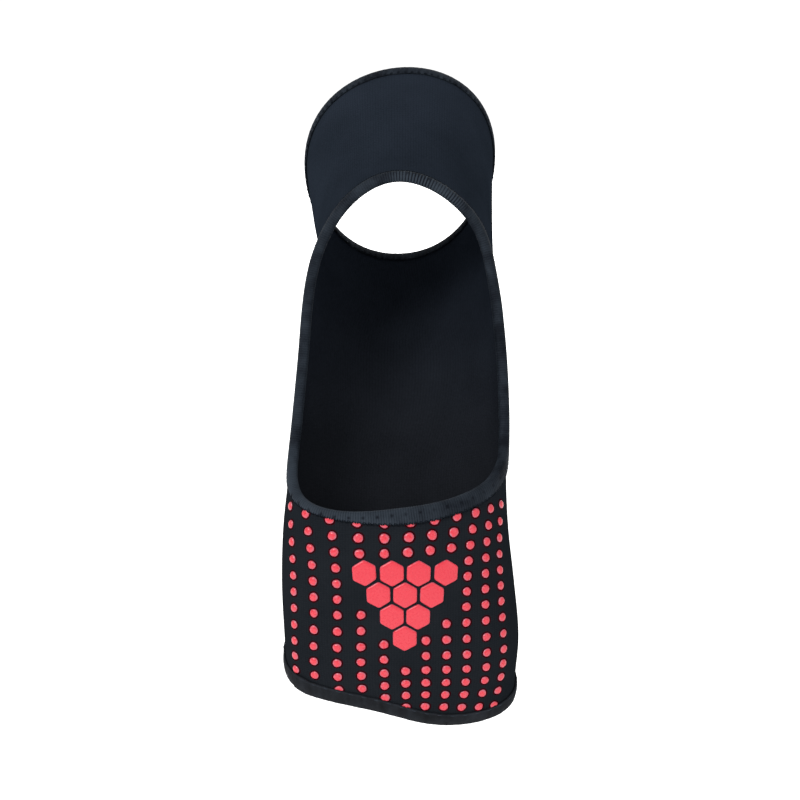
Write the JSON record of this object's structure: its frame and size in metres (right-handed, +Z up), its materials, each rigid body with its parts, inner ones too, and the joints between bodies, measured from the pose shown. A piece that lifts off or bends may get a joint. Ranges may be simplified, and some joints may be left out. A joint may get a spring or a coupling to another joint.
{
  "type": "neoprene ankle support",
  "caption": "Dark open-heel ankle support of thin neoprene with bound edges, open toe and leg ends, and raised red grip dots round a honeycomb patch on the sole.",
  "frame": {"origin": "middle of the ankle, inside the hollow between heel, instep and leg, where a foot holds the support", "axes": "+Z up from the toes toward the heel with the toes pointing down, -Y out of the sole, +Y over the instep, +X toward the big toe's side of a left foot"},
  "size_m": [0.1062, 0.1731, 0.2753],
  "materials": {
    "neoprene": "matte knitted nylon face over neoprene foam",
    "ribbed_tape": "matte ribbed knit tape",
    "smooth_tape": "smooth matte woven tape",
    "grip": "satin silicone print",
    "thread": "matte sewing thread"
  },
  "bodies": {
    "root": {"neoprene_sleeve": "neoprene", "top_binding": "ribbed_tape", "heel_binding": "ribbed_tape", "toe_binding": "smooth_tape"}
  },
  "joints": []
}
